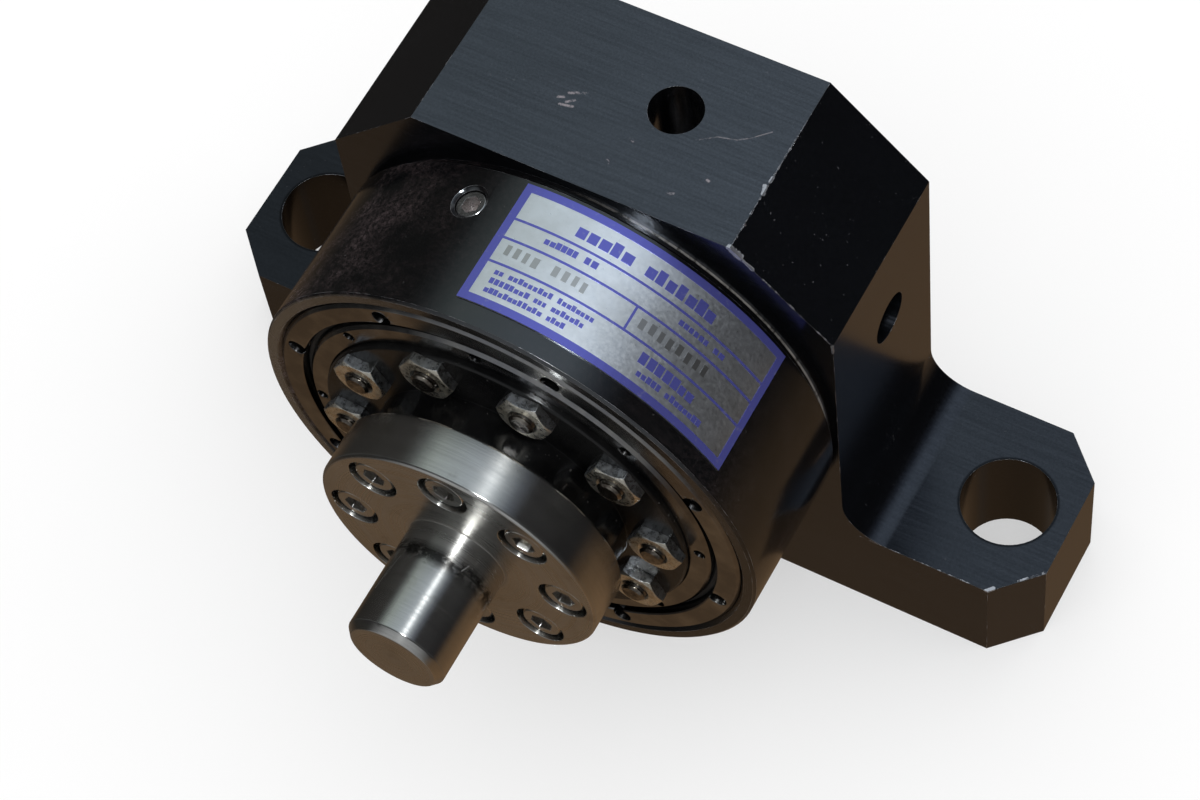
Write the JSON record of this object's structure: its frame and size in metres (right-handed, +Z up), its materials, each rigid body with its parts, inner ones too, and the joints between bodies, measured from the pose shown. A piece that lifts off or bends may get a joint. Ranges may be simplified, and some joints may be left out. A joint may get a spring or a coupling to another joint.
{
  "type": "foot-mounted cycloidal gear reducer",
  "caption": "In-line cycloidal gear reducer: chamfered foot block, round housing with stud-held output rollers, bolted output flange and shaft, hollow clamp input for a motor.",
  "frame": {"origin": "on the base plane, midway between the two foot bolt holes", "axes": "+Z up from the base, output shaft pointing along -Y, motor side towards +Y, +X across the feet"},
  "size_m": [0.1736, 0.1096, 0.1082],
  "materials": {
    "block_finish": "black anodised, finely milled, worn at the edges",
    "housing_finish": "black anodised, turned, glossy",
    "ring_finish": "black oxide, turned",
    "plate_finish": "black oxide, turned, oily",
    "bright_steel": "ground and polished",
    "zinc_steel": "zinc plated, dull",
    "dark_screw": "black oxide",
    "plate_metal": "satin, printed border",
    "seal_rubber": "matte",
    "bearing_steel": "polished",
    "cage_brass": "satin",
    "cam_steel": "ground"
  },
  "bodies": {
    "frame_body": {"foot_block": "block_finish", "housing": "housing_finish", "outer_retaining_ring": "ring_finish", "main_bearing_outer_race": "bearing_steel", "bearing_seal": "seal_rubber", "nameplate": "plate_metal", "fill_plug": "dark_screw", "housing_screws": "dark_screw", "housing_o_ring": "seal_rubber", "ground_studs": "dark_screw", "ground_nuts": "zinc_steel", "input_bearing_outer_race": "bearing_steel", "input_seal": "seal_rubber"},
    "output": {"output_plate": "plate_finish", "output_shaft": "bright_steel", "flange_screws": "bright_steel", "follower_studs": "dark_screw", "follower_nuts": "zinc_steel", "inner_retaining_ring": "ring_finish", "main_bearing_inner_race": "bearing_steel", "pilot_bearing_outer_race": "bearing_steel", "flange_o_ring": "seal_rubber"},
    "input": {"input_shaft": "cam_steel", "eccentric": "cam_steel", "eccentric_key": "dark_screw", "clamp_screw": "dark_screw", "counterweight": "cam_steel", "counterweight_screws": "dark_screw", "input_bearing_inner_race": "bearing_steel", "pilot_bearing_inner_race": "bearing_steel", "input_retaining_clip": "dark_screw"},
    "cam": {"cam": "cam_steel", "eccentric_bearing_ring": "bearing_steel"},
    "main_bearing": {"main_bearing_balls": "bearing_steel", "main_bearing_cage": "cage_brass"},
    "input_bearing": {"input_bearing_balls": "bearing_steel", "input_bearing_cage": "cage_brass"},
    "pilot_bearing": {"pilot_bearing_balls": "bearing_steel", "pilot_bearing_cage": "cage_brass"},
    "needle_bearing": {"needle_rollers": "bearing_steel", "needle_cage": "cage_brass"},
    "output_roller_1": {"output_roller_1": "bearing_steel"},
    "output_roller_2": {"output_roller_2": "bearing_steel"},
    "output_roller_3": {"output_roller_3": "bearing_steel"},
    "output_roller_4": {"output_roller_4": "bearing_steel"},
    "output_roller_5": {"output_roller_5": "bearing_steel"},
    "output_roller_6": {"output_roller_6": "bearing_steel"},
    "output_roller_7": {"output_roller_7": "bearing_steel"},
    "output_roller_8": {"output_roller_8": "bearing_steel"},
    "output_roller_9": {"output_roller_9": "bearing_steel"},
    "output_roller_10": {"output_roller_10": "bearing_steel"},
    "ground_roller_1": {"ground_roller_1": "bearing_steel"},
    "ground_roller_2": {"ground_roller_2": "bearing_steel"},
    "ground_roller_3": {"ground_roller_3": "bearing_steel"},
    "ground_roller_4": {"ground_roller_4": "bearing_steel"},
    "ground_roller_5": {"ground_roller_5": "bearing_steel"},
    "ground_roller_6": {"ground_roller_6": "bearing_steel"},
    "ground_roller_7": {"ground_roller_7": "bearing_steel"},
    "ground_roller_8": {"ground_roller_8": "bearing_steel"}
  },
  "joints": [
    {"name": "input_spin", "type": "hinge", "parent": "frame_body", "child": "input", "pos_m": [0, -0.0185, 0.0584], "axis": [0, -1, 0], "continuous": true},
    {"name": "output_spin", "type": "hinge", "parent": "frame_body", "child": "output", "pos_m": [0, -0.0185, 0.0584], "axis": [0, -1, 0], "continuous": true},
    {"name": "cam_orbit", "type": "hinge", "parent": "input", "child": "cam", "pos_m": [0.0019, -0.0185, 0.05847], "axis": [0, -1, 0], "continuous": true},
    {"name": "main_bearing_spin", "type": "hinge", "parent": "frame_body", "child": "main_bearing", "pos_m": [0, -0.0185, 0.0584], "axis": [0, -1, 0], "continuous": true},
    {"name": "input_bearing_spin", "type": "hinge", "parent": "frame_body", "child": "input_bearing", "pos_m": [0, -0.0185, 0.0584], "axis": [0, -1, 0], "continuous": true},
    {"name": "pilot_bearing_spin", "type": "hinge", "parent": "frame_body", "child": "pilot_bearing", "pos_m": [0, -0.0185, 0.0584], "axis": [0, -1, 0], "continuous": true},
    {"name": "needle_bearing_spin", "type": "hinge", "parent": "input", "child": "needle_bearing", "pos_m": [0.0019, -0.0185, 0.05847], "axis": [0, -1, 0], "continuous": true},
    {"name": "output_roller_1_spin", "type": "hinge", "parent": "output", "child": "output_roller_1", "pos_m": [0.03124, -0.0185, 0.05949], "axis": [0, -1, 0], "continuous": true},
    {"name": "output_roller_2_spin", "type": "hinge", "parent": "output", "child": "output_roller_2", "pos_m": [0.02463, -0.0185, 0.07765], "axis": [0, -1, 0], "continuous": true},
    {"name": "output_roller_3_spin", "type": "hinge", "parent": "output", "child": "output_roller_3", "pos_m": [0.00862, -0.0185, 0.08845], "axis": [0, -1, 0], "continuous": true},
    {"name": "output_roller_4_spin", "type": "hinge", "parent": "output", "child": "output_roller_4", "pos_m": [-0.01069, -0.0185, 0.08778], "axis": [0, -1, 0], "continuous": true},
    {"name": "output_roller_5_spin", "type": "hinge", "parent": "output", "child": "output_roller_5", "pos_m": [-0.02592, -0.0185, 0.07588], "axis": [0, -1, 0], "continuous": true},
    {"name": "output_roller_6_spin", "type": "hinge", "parent": "output", "child": "output_roller_6", "pos_m": [-0.03124, -0.0185, 0.05731], "axis": [0, -1, 0], "continuous": true},
    {"name": "output_roller_7_spin", "type": "hinge", "parent": "output", "child": "output_roller_7", "pos_m": [-0.02463, -0.0185, 0.03915], "axis": [0, -1, 0], "continuous": true},
    {"name": "output_roller_8_spin", "type": "hinge", "parent": "output", "child": "output_roller_8", "pos_m": [-0.00862, -0.0185, 0.02835], "axis": [0, -1, 0], "continuous": true},
    {"name": "output_roller_9_spin", "type": "hinge", "parent": "output", "child": "output_roller_9", "pos_m": [0.01069, -0.0185, 0.02902], "axis": [0, -1, 0], "continuous": true},
    {"name": "output_roller_10_spin", "type": "hinge", "parent": "output", "child": "output_roller_10", "pos_m": [0.02592, -0.0185, 0.04092], "axis": [0, -1, 0], "continuous": true},
    {"name": "ground_roller_1_spin", "type": "hinge", "parent": "frame_body", "child": "ground_roller_1", "pos_m": [0.02494, -0.0185, 0.06873], "axis": [0, -1, 0], "continuous": true},
    {"name": "ground_roller_2_spin", "type": "hinge", "parent": "frame_body", "child": "ground_roller_2", "pos_m": [0.01033, -0.0185, 0.08335], "axis": [0, -1, 0], "continuous": true},
    {"name": "ground_roller_3_spin", "type": "hinge", "parent": "frame_body", "child": "ground_roller_3", "pos_m": [-0.01033, -0.0185, 0.08335], "axis": [0, -1, 0], "continuous": true},
    {"name": "ground_roller_4_spin", "type": "hinge", "parent": "frame_body", "child": "ground_roller_4", "pos_m": [-0.02494, -0.0185, 0.06873], "axis": [0, -1, 0], "continuous": true},
    {"name": "ground_roller_5_spin", "type": "hinge", "parent": "frame_body", "child": "ground_roller_5", "pos_m": [-0.02494, -0.0185, 0.04807], "axis": [0, -1, 0], "continuous": true},
    {"name": "ground_roller_6_spin", "type": "hinge", "parent": "frame_body", "child": "ground_roller_6", "pos_m": [-0.01033, -0.0185, 0.03345], "axis": [0, -1, 0], "continuous": true},
    {"name": "ground_roller_7_spin", "type": "hinge", "parent": "frame_body", "child": "ground_roller_7", "pos_m": [0.01033, -0.0185, 0.03345], "axis": [0, -1, 0], "continuous": true},
    {"name": "ground_roller_8_spin", "type": "hinge", "parent": "frame_body", "child": "ground_roller_8", "pos_m": [0.02494, -0.0185, 0.04807], "axis": [0, -1, 0], "continuous": true}
  ],
  "couplings": [
    {"joint": "output_spin", "follows": "input_spin", "ratio": 0.1},
    {"joint": "cam_orbit", "follows": "input_spin", "ratio": -1},
    {"joint": "main_bearing_spin", "follows": "input_spin", "ratio": 0.0476},
    {"joint": "input_bearing_spin", "follows": "input_spin", "ratio": 0.43269},
    {"joint": "pilot_bearing_spin", "follows": "input_spin", "ratio": 0.47},
    {"joint": "needle_bearing_spin", "follows": "input_spin", "ratio": -0.55556},
    {"joint": "output_roller_1_spin", "follows": "input_spin", "ratio": 0.43828},
    {"joint": "output_roller_2_spin", "follows": "input_spin", "ratio": 0.43828},
    {"joint": "output_roller_3_spin", "follows": "input_spin", "ratio": 0.43828},
    {"joint": "output_roller_4_spin", "follows": "input_spin", "ratio": 0.43828},
    {"joint": "output_roller_5_spin", "follows": "input_spin", "ratio": 0.43828},
    {"joint": "output_roller_6_spin", "follows": "input_spin", "ratio": 0.43828},
    {"joint": "output_roller_7_spin", "follows": "input_spin", "ratio": 0.43828},
    {"joint": "output_roller_8_spin", "follows": "input_spin", "ratio": 0.43828},
    {"joint": "output_roller_9_spin", "follows": "input_spin", "ratio": 0.43828},
    {"joint": "output_roller_10_spin", "follows": "input_spin", "ratio": 0.43828},
    {"joint": "ground_roller_1_spin", "follows": "input_spin", "ratio": -0.29921},
    {"joint": "ground_roller_2_spin", "follows": "input_spin", "ratio": -0.29921},
    {"joint": "ground_roller_3_spin", "follows": "input_spin", "ratio": -0.29921},
    {"joint": "ground_roller_4_spin", "follows": "input_spin", "ratio": -0.29921},
    {"joint": "ground_roller_5_spin", "follows": "input_spin", "ratio": -0.29921},
    {"joint": "ground_roller_6_spin", "follows": "input_spin", "ratio": -0.29921},
    {"joint": "ground_roller_7_spin", "follows": "input_spin", "ratio": -0.29921},
    {"joint": "ground_roller_8_spin", "follows": "input_spin", "ratio": -0.29921}
  ]
}
